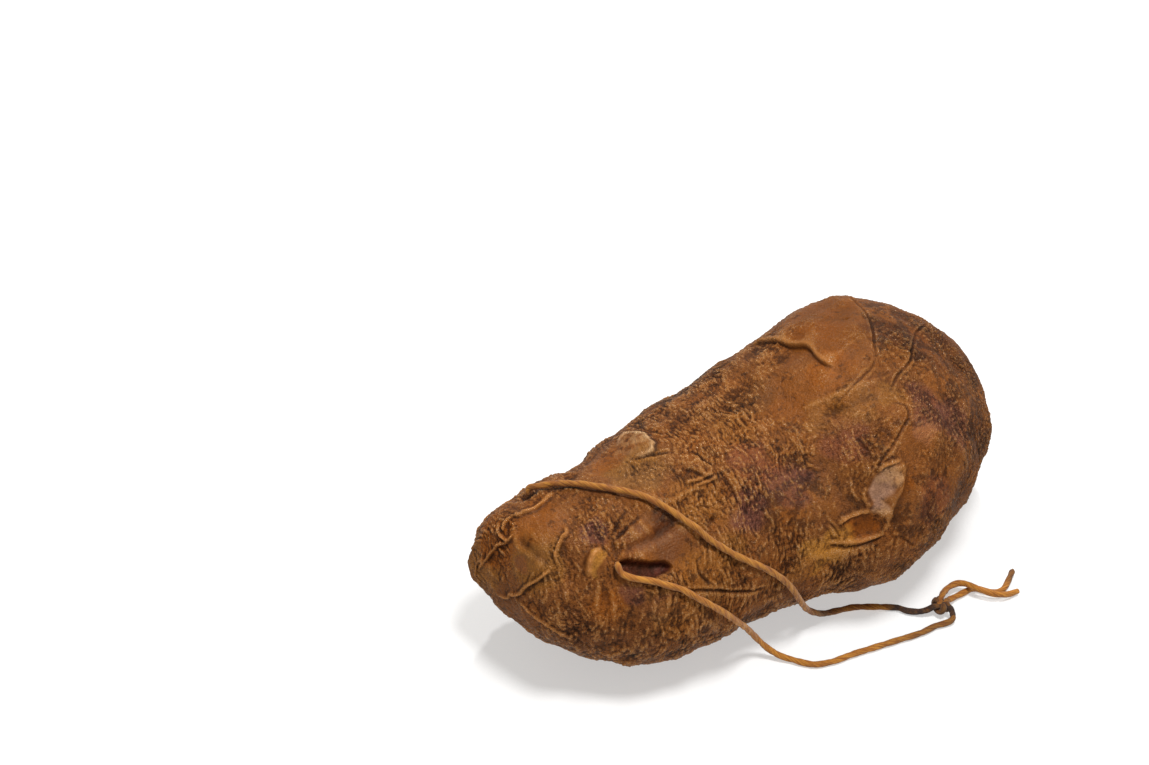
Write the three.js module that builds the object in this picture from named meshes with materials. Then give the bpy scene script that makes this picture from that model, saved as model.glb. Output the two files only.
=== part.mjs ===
// Salpicao sausage: cured, smoked pork in one wrinkled casing, lying on its side, with its hanging
// loop of twine. Millimetres, +Z up. X runs from the pinched tip (-X) to the rounded head (+X), the
// shown side faces -Y, and the origin is the middle of the sausage's footprint.
import * as THREE from 'three';
import { mergeVertices } from 'three/addons/utils/BufferGeometryUtils.js';

// Driving dimensions
const LENGTH = 205;
const TWINE_DIAMETER = 2.4;
const KNOT_RADIUS = 4.2;

// Body outline at equally spaced stations from the tip to the head
const HALF_WIDTH = [45, 54, 50.5, 47.5, 45.5, 47.5, 55.5, 60, 60.5, 62.5, 57];
const HALF_HEIGHT = [41, 48, 44, 40.5, 38, 39, 45, 48, 48.5, 50, 45.5];
const SIDEWAYS = [10.6, -2.9, -5.4, -8.4, -2.4, 0.6, -2.9, 6.1, 11.1, 11.1, 3.6];
const LIFT = [11, 8, 3, 0, 0, 0, 0, 0, 0, 0, 0];
const END_BLUNTNESS = 0.92; // below 1 the two ends are blunter than an ellipsoid's
const SLUMP = 0.6; // 1 would leave the ends in the air, 0 would lay them on the table
const PRESSED_FLAT = 3; // the underside lies this much deeper than the table and is flat there
const WIDEST_LOW = 0.06; // the section is this much narrower above its middle than below it
const FOOTPRINT_MIDDLE = new THREE.Vector3(-1.6, 0.5, 0); // of the finished casing, seen from above

// Grid of the solid: finest on the shown side, coarser underneath
const STATIONS = 80;
const COLUMNS = 66;
const FAVOURED = THREE.MathUtils.degToRad(55);
const CROWDING = 0.36;
const NARROWEST = 2.7; // relief narrower than this is widened to fit the grid

// Relief of the casing. A place is [mm from the tip along X, degrees round the body], where 0 degrees
// is the front, 90 the top and 180 the back.
const FOLDS = [
  // Pinched tip: two folds from the very end, a V-shaped fold and the crumpled gathers between them
  { through: [[0.3, 135], [1.8, 103], [3.8, 97], [7.5, 89]], rise: 2.0, width: 1.3 },
  { through: [[0.3, 60], [0.8, 85], [1.4, 94]], rise: 1.4, width: 1.2 },
  { through: [[0.5, -60], [2.3, 10], [5.7, 37], [11.9, 48]], rise: 2.2, width: 1.4 },
  { through: [[8.4, 144], [5.4, 123], [4.6, 110], [7.1, 92]], rise: 1.6, width: 1.1 },
  { through: [[11.7, 119], [8.7, 119], [6, 122]], rise: 1.6, width: 1.2 },
  { through: [[12.1, 115], [18, 114], [24.5, 113]], rise: 2.0, width: 2.0 },
  { through: [[2.3, -4], [5.6, -6], [8.4, -14], [13, -22]], rise: 1.0, width: 1.6 },
  { through: [[22, 75], [16.2, 64], [14, 53]], rise: 1.3, width: 1.6 },
  // Boss and lobes about the slit
  { through: [[22.7, 45], [24.2, 52], [28.2, 50]], rise: 1.6, width: 2.2 },
  { through: [[32, 53], [37.8, 58], [46, 64]], rise: 1.6, width: 4.0 },
  { through: [[40, 46], [52.7, 45], [62, 46]], rise: 1.8, width: 4.5 },
  // Lifted scrap of membrane on the top
  { through: [[54, 106], [59.6, 101], [62.8, 96], [67, 100], [66.5, 115]], rise: 1.0, width: 1.5 },
  // Ridge beside the long crease, and the crumpled facets under the head
  { through: [[166, 82], [156, 72], [147, 67], [138, 65], [122, 73]], rise: 1.2, width: 3.0 },
  { through: [[126.4, 37], [131.2, 39], [135.4, 38]], rise: 1.8, width: 1.5 },
  { through: [[111.1, 22], [116.5, 25], [121.9, 23]], rise: 1.6, width: 2.2 },
  { through: [[121.9, 23], [123.3, 16], [121.6, 10]], rise: 1.2, width: 1.6 },
  { through: [[136.2, 35], [131.6, 26], [124.2, 14]], rise: 1.0, width: 1.8 },
  { through: [[104, 17], [111.2, 15], [117, 14]], rise: 1.6, width: 3.0 },
  { through: [[94.1, 4], [104, 6], [118, 4]], rise: 1.0, width: 3.0 },
  // Side that lies away from the view
  { through: [[4, 170], [14, 160], [30, 155]], rise: 1.6, width: 2.2 },
  { through: [[5, -120], [16, -150], [28, -165]], rise: 1.4, width: 2.2 },
  { through: [[70, 165], [88, 150], [104, 158]], rise: 1.2, width: 3.0 },
  { through: [[150, 160], [164, 178], [170, -160]], rise: 1.3, width: 2.6 },
];
const CREASES = [
  // Valley that drains the tip folds, and the valleys between the lobes
  { through: [[7, 86], [8.8, 62], [12.5, 50]], depth: 1.6, width: 2.6 },
  { through: [[31.4, 49], [38.7, 50], [50.7, 53], [60, 54]], depth: 2.2, width: 2.8 },
  { through: [[31.5, 58], [37, 66], [43, 72]], depth: 1.0, width: 2.4 },
  // Long crease over the shoulder of the head, its branch and the line on to the crumple
  { through: [[183, 88], [171.1, 79], [162.4, 71], [149.3, 64], [140.6, 61]], depth: 2.0, width: 2.0 },
  { through: [[140.6, 61], [135.5, 62], [129, 65], [116, 70]], depth: 1.6, width: 2.6 },
  { through: [[152.1, 49], [144.9, 50], [137.6, 48], [127.1, 38]], depth: 1.3, width: 1.8 },
  // Edge of the smooth patch on the head
  { through: [[163.6, 129], [158.9, 110], [152.8, 88], [146.5, 79]], depth: 1.2, width: 1.6 },
  { through: [[146.5, 79], [141.4, 78], [128.9, 71]], depth: 1.2, width: 1.6 },
  // Low creases of the front, below the twine
  { through: [[53, 20], [63.1, 15], [71.4, 6], [87, -1]], depth: 1.4, width: 1.8 },
  { through: [[57.3, 34], [56.6, 27], [59.6, 18]], depth: 0.8, width: 1.5 },
  { through: [[105, 13], [112, 9], [118, 9]], depth: 1.2, width: 1.8 },
  { through: [[128.6, 6], [132, 1], [135.9, -6]], depth: 0.9, width: 1.5 },
  // Side that lies away from the view
  { through: [[48, 168], [60, -178], [74, -170]], depth: 1.3, width: 2.4 },
  { through: [[112, 175], [128, 160], [146, 164]], depth: 1.6, width: 2.4 },
  { through: [[180, 150], [170, 172], [176, -165]], depth: 1.2, width: 2.2 },
];
// A lip is a step: the casing is doubled on the head's side of the line and thins out again
const LIPS = [
  { through: [[130.2, 83], [129.9, 99], [127.9, 117], [124.5, 130], [120, 138]], rise: 2.4, fade: 15 },
];
// Broad swellings and hollows
const SWELLINGS = [
  { place: [25, 47], radius: 4, rise: 2 },
  { place: [152, 138], radius: 13, rise: 1.9 },
  { place: [1, 150], radius: 17, rise: 2.4 },
  { place: [76, 69], radius: 24, rise: 2.4 },
  { place: [103, 98], radius: 22, rise: -3.2 },
  { place: [112, 64], radius: 20, rise: -2.0 },
  { place: [150, 45], radius: 22, rise: 1.6 },
  { place: [118, 18], radius: 7.5, rise: -4.2 },
  { place: [21, 128], radius: 3.6, rise: -2.6 },
  { place: [129, 29], radius: 8, rise: -1.6 },
  { place: [97, 12], radius: 14, rise: -0.9 },
  { place: [60, -10], radius: 22, rise: 1.8 },
  { place: [178, 10], radius: 24, rise: 1.4 },
  { place: [96, 175], radius: 22, rise: -2.4 },
  { place: [52, 155], radius: 20, rise: -0.8 },
];
// Slit cut in the front of the tip, straight above and round below
const SLIT = { through: [[31.5, 45], [39, 41], [47.5, 36.5]], halfWidth: 3.2, depth: 4.6 };
// Waves of the drying casing: three crossing trains of [mm per wave along x, y, z] and height
const WAVES = [
  { lengths: [31, 47, 53], height: 0.4, phase: 0.4 },
  { lengths: [-19, 29, 37], height: 0.22, phase: 2.1 },
  { lengths: [23, -17, 41], height: 0.16, phase: 4.4 },
];

// Twine: the front run from the slit down to the knot, the back run from a hole on top of the tip,
// over the middle and down to the same knot, and the two cut tails
const ROUTE_FRONT = [
  [-70.4, -32.9, 59.8], [-70.8, -34.6, 58.5], [-70.2, -36, 57], [-69, -37.5, 56.5], [-67, -39, 55.8],
  [-64, -40.5, 55], [-61, -42, 54], [-57.5, -44, 52.5], [-53, -46.2, 50.2], [-49, -48.1, 46.6],
  [-44, -50, 42], [-38.5, -50.5, 36], [-32.5, -49.5, 28], [-27, -46.8, 20], [-23, -45, 13.5],
  [-19.8, -45, 8.4], [-17, -46.7, 4.7], [-14, -49.5, 2.4], [-10.5, -53, 1.6], [-5.5, -58, 1.4],
  [1, -60, 1.4], [9, -60.5, 1.4], [18, -61.5, 1.4], [27, -62.5, 1.4], [36, -63.5, 1.4],
  [42, -63.2, 1.4], [46.2, -63.8, 1.5], [47.9, -64.1, 1.9], [49.2, -63.7, 2.6], [49.5, -62.7, 3.2],
];
const ROUTE_BACK = [
  [-79.4, 11.5, 58.3], [-79.7, 12, 59.8], [-79, 11.8, 61.3], [-77.6, 10, 62.8], [-75.5, 8, 64],
  [-73, 6, 65.2], [-70, 2.5, 66.7], [-67, -1, 68], [-63.5, -6, 69.4], [-60, -10.5, 70.2],
  [-56.5, -13.8, 70.2], [-53, -18, 70.2], [-50, -22.9, 69.8], [-46.5, -27, 67.5], [-43.8, -31, 65.5],
  [-41.2, -35.7, 63.9], [-38, -38.3, 59.7], [-34.5, -40.2, 56.3], [-30.5, -42.5, 52.7], [-25.5, -45, 49],
  [-20.3, -46.7, 44.8], [-14.8, -47.7, 39], [-11.5, -48.2, 34.5], [-9, -48.3, 30], [-6.5, -47.5, 25],
  [-3, -45.6, 18.5], [1, -43, 12], [5.5, -42, 7.3], [10, -41, 4], [16.3, -40.7, 2.2],
  [22.3, -41.5, 1.5], [28, -44.3, 1.4], [33, -47.3, 1.4], [36, -49.5, 1.4], [38, -52.3, 1.4],
  [40.3, -54.4, 1.8], [42, -55.7, 2.4], [43.1, -56.2, 2.8],
];
const ROUTE_TAIL_LONG = [
  [51.4, -54.4, 5.8], [53, -53.2, 5.1], [55.4, -51.9, 4.4], [57.9, -51.3, 4], [60, -51.5, 3.9],
  [61.5, -52.6, 4.1], [62.5, -54.4, 4.4], [63.4, -56.4, 4.5], [64.4, -58.2, 4.4], [65.7, -59.7, 4.2],
  [67.3, -61.3, 3.9], [69.3, -62.5, 3.4], [72, -63.2, 2.6], [74.8, -63.3, 1.9], [77.9, -63.1, 1.5],
];
const ROUTE_TAIL_SHORT = [
  [52.1, -56, 3.1], [54.6, -55.3, 2.2], [57.4, -54.6, 1.5], [59.7, -54.4, 1.4], [61.8, -54.2, 1.4],
  [63.9, -54.2, 1.4], [65.9, -55, 1.4], [67.3, -56.7, 1.4], [69.1, -58.5, 1.4], [70.9, -59.9, 1.4],
  [72.9, -60.1, 1.4], [75.1, -59.2, 1.4], [77.9, -57.3, 1.5], [80.4, -55.4, 1.7], [82.6, -53.7, 2],
];
const KNOT_MIDDLE = [47.6, -57.8, 4.4];

const smooth = THREE.MathUtils.smoothstep;

// Value at t (0 to 1) of an even list of numbers, rounded off by a Catmull-Rom curve
function alongList(list, t) {
  const last = list.length - 1;
  const scaled = THREE.MathUtils.clamp(t, 0, 1) * last;
  const i = Math.min(Math.floor(scaled), last - 1);
  const r = scaled - i;
  const p0 = list[Math.max(i - 1, 0)];
  const p1 = list[i];
  const p2 = list[i + 1];
  const p3 = list[Math.min(i + 2, last)];
  return 0.5 * (2 * p1 + (p2 - p0) * r + (2 * p0 - 5 * p1 + 4 * p2 - p3) * r ** 2
    + (3 * p1 - p0 - 3 * p2 + p3) * r ** 3);
}

// Plain body, before relief: t runs 0 to 1 from pole to pole, around is in radians
function bodyPoint(t, around) {
  const cap = Math.max(Math.sin(Math.PI * t), 0) ** END_BLUNTNESS;
  const halfWidth = alongList(HALF_WIDTH, t) * cap;
  const fullHeight = alongList(HALF_HEIGHT, t);
  const middle = fullHeight * (SLUMP + (1 - SLUMP) * cap) + alongList(LIFT, t) - PRESSED_FLAT;
  const rise = Math.sin(around);
  return new THREE.Vector3(
    -Math.cos(Math.PI * t) * LENGTH / 2,
    alongList(SIDEWAYS, t) - halfWidth * Math.cos(around) * (1 - WIDEST_LOW * rise),
    middle + fullHeight * cap * rise,
  );
}

// Direction straight out of the plain body
function bodyNormal(t, around) {
  const nudge = 0.002;
  const safe = THREE.MathUtils.clamp(t, 2 * nudge, 1 - 2 * nudge);
  const forward = bodyPoint(safe + nudge, around).sub(bodyPoint(safe - nudge, around));
  const round = bodyPoint(safe, around + nudge).sub(bodyPoint(safe, around - nudge));
  return forward.cross(round).normalize();
}

function stationOf(x) {
  return Math.acos(THREE.MathUtils.clamp(-2 * x / LENGTH, -1, 1)) / Math.PI;
}

function placePoint([fromTip, degrees]) {
  return bodyPoint(stationOf(fromTip - LENGTH / 2), THREE.MathUtils.degToRad(degrees));
}

// Point of the plain body on the same section, and in the same direction from its middle
function ontoBody(point) {
  const t = stationOf(point.x);
  const left = bodyPoint(t, 0);
  const right = bodyPoint(t, Math.PI);
  const middleY = (left.y + right.y) / 2;
  const halfWidth = Math.max((right.y - left.y) / 2, 1e-6);
  const halfHeight = Math.max(bodyPoint(t, Math.PI / 2).z - left.z, 1e-6);
  const around = Math.atan2((point.z - left.z) / halfHeight, (middleY - point.y) / halfWidth);
  return bodyPoint(t, around);
}

// Line over the body through the named places
function lineOver(places) {
  const curve = new THREE.CatmullRomCurve3(places.map(placePoint));
  return curve.getPoints(8 * (places.length - 1)).map(ontoBody);
}

// Distance from a point to a line, how far along it that is (0 to 1) and on which side
function nearLine(point, line, normal) {
  const best = { distance: Infinity, along: 0, side: 0 };
  const step = new THREE.Vector3();
  const offset = new THREE.Vector3();
  for (let i = 0; i < line.length - 1; i++) {
    step.subVectors(line[i + 1], line[i]);
    offset.subVectors(point, line[i]);
    const part = THREE.MathUtils.clamp(offset.dot(step) / step.lengthSq(), 0, 1);
    offset.addScaledVector(step, -part);
    const distance = offset.length();
    if (distance < best.distance) {
      best.distance = distance;
      best.along = (i + part) / (line.length - 1);
      best.side = Math.sign(step.cross(normal).dot(offset));
    }
  }
  return best;
}

function bell(distance, width) {
  return Math.exp(-((distance / width) ** 2));
}

// Full in the middle of a line, nothing at its two ends
function fadeAtEnds(along) {
  return smooth(along, 0, 0.18) * smooth(1 - along, 0, 0.18);
}

function foldRelief(near, { rise, width }) {
  return rise * bell(near.distance, Math.max(width, NARROWEST)) * fadeAtEnds(near.along);
}

// A crease has a raised shoulder on each side
function creaseRelief(near, { depth, width }) {
  const reach = Math.max(width, NARROWEST);
  const shoulder = 0.35 * bell(near.distance - 2 * reach, reach);
  return depth * (shoulder - bell(near.distance, reach)) * fadeAtEnds(near.along);
}

function lipRelief(near, { rise, fade }) {
  const signed = near.distance * near.side;
  const step = 0.5 + 0.5 * Math.tanh(signed / (NARROWEST / 2));
  return rise * step * bell(Math.max(signed, 0), fade) * fadeAtEnds(near.along);
}

function slitRelief(near, { halfWidth, depth }) {
  const half = halfWidth * Math.sqrt(Math.max(Math.sin(Math.PI * near.along), 0.02));
  return -depth * (1 - smooth(near.distance, half * 0.45, half * 1.3));
}

function waveRelief(point) {
  return WAVES.reduce((sum, { lengths, height, phase }) => {
    const turn = point.x / lengths[0] + point.y / lengths[1] + point.z / lengths[2];
    return sum + height * Math.sin(2 * Math.PI * turn + phase);
  }, 0);
}

function withLine(feature) {
  return { ...feature, line: lineOver(feature.through) };
}

const RELIEF_LINES = [
  [FOLDS.map(withLine), foldRelief],
  [CREASES.map(withLine), creaseRelief],
  [LIPS.map(withLine), lipRelief],
  [[withLine(SLIT)], slitRelief],
];
const SWELLING_POINTS = SWELLINGS.map((feature) => ({ ...feature, centre: placePoint(feature.place) }));

// How far the casing stands out of the plain body at a point of it
function relief(point, normal) {
  let height = waveRelief(point);
  for (const { centre, radius, rise } of SWELLING_POINTS) {
    height += rise * bell(point.distanceTo(centre), radius);
  }
  for (const [features, profile] of RELIEF_LINES) {
    for (const feature of features) {
      height += profile(nearLine(point, feature.line, normal), feature);
    }
  }
  return height;
}

function casingPoint(t, around) {
  const point = bodyPoint(t, around);
  const normal = bodyNormal(t, around);
  point.addScaledVector(normal, relief(point, normal));
  point.z = Math.max(point.z, 0);
  return point.sub(FOOTPRINT_MIDDLE);
}

// Closed skin of rings between two poles
function sausageGeometry() {
  const points = [casingPoint(0, 0)];
  for (let i = 1; i < STATIONS; i++) {
    for (let j = 0; j < COLUMNS; j++) {
      const turn = 2 * Math.PI * j / COLUMNS;
      points.push(casingPoint(i / STATIONS, turn + FAVOURED - CROWDING * Math.sin(turn)));
    }
  }
  points.push(casingPoint(1, 0));
  const last = points.length - 1;
  const ring = (i, j) => 1 + (i - 1) * COLUMNS + (j % COLUMNS);
  const faces = [];
  for (let j = 0; j < COLUMNS; j++) {
    faces.push(0, ring(1, j), ring(1, j + 1));
    faces.push(last, ring(STATIONS - 1, j + 1), ring(STATIONS - 1, j));
    for (let i = 1; i < STATIONS - 1; i++) {
      const [a, b, c, d] = [ring(i, j), ring(i + 1, j), ring(i + 1, j + 1), ring(i, j + 1)];
      if (points[a].distanceTo(points[c]) < points[b].distanceTo(points[d])) {
        faces.push(a, b, c, a, c, d);
      } else {
        faces.push(a, b, d, b, c, d);
      }
    }
  }
  return new THREE.BufferGeometry().setFromPoints(points).setIndex(faces);
}

// Round twine along a route
function twineGeometry(route) {
  const path = new THREE.CatmullRomCurve3(route.map((point) => new THREE.Vector3(...point)));
  const sides = 8;
  const section = new THREE.Shape();
  for (let k = 0; k < sides; k++) {
    const turn = 2 * Math.PI * k / sides;
    const x = Math.cos(turn) * TWINE_DIAMETER / 2;
    const y = Math.sin(turn) * TWINE_DIAMETER / 2;
    if (k === 0) section.moveTo(x, y);
    else section.lineTo(x, y);
  }
  const steps = Math.round(path.getLength() / (2.5 * TWINE_DIAMETER));
  return new THREE.ExtrudeGeometry(section, { steps, bevelEnabled: false, extrudePath: path });
}

// The knot's outer shape: a tight lump with the turns of the twine standing out of it
function knotGeometry() {
  const geometry = new THREE.SphereGeometry(KNOT_RADIUS, 20, 14);
  geometry.deleteAttribute('normal');
  geometry.deleteAttribute('uv');
  const merged = mergeVertices(geometry, 1e-4);
  const position = merged.getAttribute('position');
  const point = new THREE.Vector3();
  for (let i = 0; i < position.count; i++) {
    point.fromBufferAttribute(position, i);
    const turn = Math.atan2(point.y, point.x);
    const wrap = 1 + 0.07 * Math.sin(2 * turn + 1.4 * point.z);
    position.setXYZ(i, point.x * wrap, point.y * wrap, point.z);
  }
  return merged;
}

function piece(name, geometry, colour, roughness) {
  const material = new THREE.MeshStandardMaterial({ color: colour, roughness, metalness: 0 });
  const mesh = new THREE.Mesh(geometry, material);
  mesh.name = name;
  return mesh;
}

const TWINE_COLOUR = 0xa8722c;
const model = new THREE.Group();
model.add(piece('sausage', sausageGeometry(), 0x7a4a1e, 0.5));
model.add(piece('twine_front', twineGeometry(ROUTE_FRONT), TWINE_COLOUR, 0.85));
model.add(piece('twine_back', twineGeometry(ROUTE_BACK), TWINE_COLOUR, 0.85));
model.add(piece('tail_long', twineGeometry(ROUTE_TAIL_LONG), TWINE_COLOUR, 0.85));
model.add(piece('tail_short', twineGeometry(ROUTE_TAIL_SHORT), TWINE_COLOUR, 0.85));
const knot = piece('knot', knotGeometry(), 0x5a3a1e, 0.85);
knot.position.set(...KNOT_MIDDLE);
model.add(knot);

export default model;
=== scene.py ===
import itertools
import math
from types import SimpleNamespace

import bpy
import numpy as np
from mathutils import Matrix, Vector


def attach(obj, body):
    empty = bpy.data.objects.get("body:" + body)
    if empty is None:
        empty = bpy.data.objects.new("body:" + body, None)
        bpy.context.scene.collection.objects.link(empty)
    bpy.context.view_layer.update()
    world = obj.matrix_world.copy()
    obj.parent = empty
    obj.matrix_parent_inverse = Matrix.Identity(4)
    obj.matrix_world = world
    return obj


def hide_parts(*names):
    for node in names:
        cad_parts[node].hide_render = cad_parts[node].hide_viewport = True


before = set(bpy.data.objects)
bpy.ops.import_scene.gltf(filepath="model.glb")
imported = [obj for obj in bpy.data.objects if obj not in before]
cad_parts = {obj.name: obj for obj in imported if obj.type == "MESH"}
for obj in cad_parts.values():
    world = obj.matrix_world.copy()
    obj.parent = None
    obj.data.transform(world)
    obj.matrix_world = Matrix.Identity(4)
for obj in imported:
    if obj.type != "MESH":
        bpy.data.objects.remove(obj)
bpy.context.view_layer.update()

# Salpicao sausage: cured, smoked pork in one wrinkled casing, lying on its side, with its hanging loop
# of twine. Lengths are in millimetres, in the row frame, and go to metres when a mesh is made.
MM = 0.001

# Camera, at the photograph's viewing angle
CAMERA_AZIMUTH = -29.2
CAMERA_ELEVATION = 40.0
CAMERA_DISTANCE = 1059.5
CAMERA_TARGET = (-2.9, 116.7, 0.0)
CAMERA_LENS = 85.0

# Lights: name, place in metres, size in metres and power in watts
LIGHTS = [
    ("key", (0.02, -0.3, 1.25), 0.3, 14.5),
    ("glint", (0.35, 0.5, 1.0), 0.08, 6),
]
WORLD_STRENGTH = 0.4
SURROUND_COLOUR = (1.0, 0.95, 0.86)
# Floor: side in metres, grey and the glow that whitens it
FLOOR_SIZE = 6
FLOOR_GREY = 0.5
FLOOR_GLOW = 0.47

# Body outline at equally spaced stations from the tip to the head
LENGTH = 205.0
HALF_WIDTH = [45, 54, 50.5, 47.5, 45.5, 47.5, 55.5, 60, 60.5, 62.5, 57]
HALF_HEIGHT = [41, 48, 44, 40.5, 38, 39, 45, 48, 48.5, 50, 45.5]
SIDEWAYS = [10.6, -2.9, -5.4, -8.4, -2.4, 0.6, -2.9, 6.1, 11.1, 11.1, 3.6]
LIFT = [11, 8, 3, 0, 0, 0, 0, 0, 0, 0, 0]
END_BLUNTNESS = 0.92
SLUMP = 0.6
PRESSED_FLAT = 3.0
WIDEST_LOW = 0.06
FOOTPRINT_MIDDLE = np.array([-1.6, 0.5, 0.0])

# X over which the strokes that run round the body give way to the crinkle of the head
HEAD_CRINKLE = (5, 45)

# Grid of the casing, finest on the shown side
STATIONS = 720
COLUMNS = 400
FAVOURED = math.radians(55)
CROWDING = 0.5
PIECE_NAMES = ["casing_tip", "casing_middle", "casing_head"]

# Relief of the casing. A place is [mm from the tip along X, degrees round the body], where 0 degrees
# is the front, 90 the top and 180 the back.

# Folds: line, rise, width and, where it tips over to the right of its run, how far it leans
FOLDS = [
    # Pinched tip
    ([[0.2, 55], [1.2, 86], [2.3, 95], [3.4, 94], [4.5, 90], [6.7, 87]], 1.3, 0.6, 0.5),
    ([[0.3, -20], [0.2, 60], [0.6, 95], [1.4, 88]], 1, 0.5, 0.3),
    ([[0.8, -11], [1.6, 6], [3.2, 16], [4.3, 27], [5.9, 35], [8.8, 42], [11.7, 46]], 1.4, 0.6, 0.5),
    ([[3, 8], [3.6, 0], [4.6, -7], [7.3, -9], [11, -14], [15, -22]], 0.9, 0.8, 0.3),
    ([[6.5, 117], [5.3, 107], [5.1, 98], [5.6, 90], [7.3, 90]], 1.2, 0.5, 0.3),
    ([[11.2, 111], [8.9, 111], [7.1, 110], [6, 106]], 1.2, 0.6, 0.4),
    ([[11.7, 115], [12, 108], [14, 105], [17, 103], [20, 105], [23, 107], [27, 109]], 1.7, 1.2, 1),
    ([[8.5, 99], [7.4, 94], [6.6, 75], [7.7, 63], [9.4, 53], [11.2, 46]], 0.8, 1.6),
    ([[22, 76], [21, 70], [19, 67], [17, 63], [15, 58], [14, 52]], 1.2, 0.7, 0.4),
    # Curled boss, the strands below it and the lobes beside the slit
    ([[29, 54], [27, 53.5], [25, 51], [23.6, 48], [22.6, 44], [22.6, 39]], 1.7, 1.3, 0.1),
    ([[24, 39], [23, 31], [22, 22], [20, 11]], 0.5, 1),
    ([[26, 36], [26.5, 27], [26, 17], [25, 6]], 0.5, 1),
    ([[13, 39], [13.5, 29], [13, 18]], 0.5, 1),
    ([[32, 57], [38, 57.5], [47, 60]], 1.2, 3.4),
    ([[35, 48], [47, 47.5], [62, 47]], 0.8, 4.6),
    # Leaf-shaped folds and the bowed ridge on the middle
    ([[65, 68], [67, 67], [69, 66], [72, 65], [76, 64]], 0.9, 0.7, 0.4),
    ([[67, 64], [70, 63], [73, 62], [76.5, 62]], 0.8, 0.6, 0.4),
    ([[53, 74], [52, 70], [54, 67], [58, 63.5], [63, 63], [68, 62], [73, 60]], 0.8, 1.3),
    ([[77, 67], [79, 62], [80, 57], [80.5, 50], [80, 42]], 0.7, 1.3),
    # Ridge along the edge of the valley, and the crumpled facets under the head
    ([[112, 77], [121, 74], [127, 73], [133, 72], [139, 70], [146, 70]], 0.7, 1.6),
    ([[126, 36], [129, 37.5], [132, 37.5], [135.5, 37]], 1.3, 0.6, 0.5),
    ([[110, 19], [112, 21], [117, 22.5], [121.5, 21.5]], 1.2, 0.8, 0.9),
    ([[122, 32], [120, 28], [121.3, 22.5]], 0.9, 0.8),
    ([[136, 38], [134.5, 31], [131.5, 25], [128, 19], [125, 13], [122, 8]], 0.7, 0.8),
    ([[105, 12], [109, 11], [114, 9.5], [119, 9], [124, 9.5]], 0.8, 0.8, 0.4),
    ([[94, 4], [104, 6], [118, 3]], 0.9, 2.6),
    # Side that lies away from the view
    ([[4, 170], [14, 160], [30, 155]], 1.4, 1, 0.6),
    ([[5, -120], [16, -150], [28, -165]], 1.3, 1.1, 0.4),
    ([[70, 165], [88, 150], [104, 158]], 1.1, 1.8, 0.4),
    ([[150, 160], [164, 178], [170, -160]], 1.2, 1.6, 0.4),
]
# Creases: line, depth and width
CREASES = [
    # Valley that drains the tip folds, and the valleys between the lobes
    ([[7, 86], [8.8, 62], [12.5, 50]], 0.8, 2),
    ([[30, 50], [35, 53], [40, 52.5], [46, 53], [52, 54], [60, 55]], 0.8, 1.7),
    ([[31, 53.5], [34, 59], [40, 64], [47, 67]], 0.5, 0.8),
    ([[33, 61], [37, 68], [43, 74]], 0.4, 0.7),
    # Long crease over the shoulder of the head, its branch and the line on to the crumple
    ([[185, 93], [176, 84], [164, 72], [160, 68], [152, 66], [141, 61]], 0.7, 0.5),
    ([[140, 60], [145, 53], [144.5, 49], [140, 47], [130, 41], [125, 35]], 0.5, 0.5),
    ([[140, 63], [134, 65], [128, 66], [118, 69]], 0.8, 2.4),
    # Edge of the smooth patch on the head
    ([[165, 130], [162, 110], [157, 95], [151, 85], [148, 79]], 0.6, 0.5),
    ([[147, 78], [143, 76], [133, 73], [127, 70]], 0.5, 0.5),
    # Line beside the membrane scrap, and the fan of lines on the middle
    ([[56, 100], [59, 95], [62, 91], [68, 85]], 0.6, 0.6),
    ([[67, 74], [70, 69], [72, 64], [74, 60]], 0.6, 0.5),
    ([[73, 81], [74, 77], [75, 72], [77, 67]], 0.6, 0.5),
    # Low creases of the front, below the twine
    ([[43, 27], [51, 21], [61, 14], [71, 6], [84, 1]], 0.8, 0.5),
    ([[57.3, 34], [56.6, 27], [59.6, 18]], 0.6, 0.5),
    ([[106, 10], [112, 7], [118, 6.5], [124, 8]], 0.7, 0.5),
    ([[128.6, 6], [132, 1], [135.9, -6]], 0.5, 0.5),
    # Side that lies away from the view
    ([[48, 168], [60, -178], [74, -170]], 0.9, 0.8),
    ([[112, 175], [128, 160], [146, 164]], 1.1, 0.9),
    ([[180, 150], [170, 172], [176, -165]], 0.8, 0.7),
]
# A lip is a step: the casing is doubled on the head's side of the line and thins out again
LIPS = [
    dict(through=[[132.5, 84], [130.2, 92], [131, 104], [129, 112], [127, 124], [126, 134], [122, 142]],
         rise=2.2, width=0.7, fade=13, lean=0.9, mark=0.9),
    dict(through=[[136, 38], [134.5, 31], [131.5, 25], [128, 19], [125, 13]],
         rise=2.2, width=2.4, fade=6, lean=0, mark=0.2),
]
# Loose scrap of pale membrane on the top: its outline, run clockwise, its rise, the rise of its curled
# edge, and how far from its end at the tip it starts to lift and is fully lifted
SCRAP = dict(
    outline=[[55, 121], [62, 124], [65.4, 113], [65.2, 102], [65, 97], [62, 94], [58, 96], [56, 101],
             [53, 102], [51.6, 109], [55, 121]],
    rise=0.6, curl=0.6, lift=(4, 11))
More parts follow.
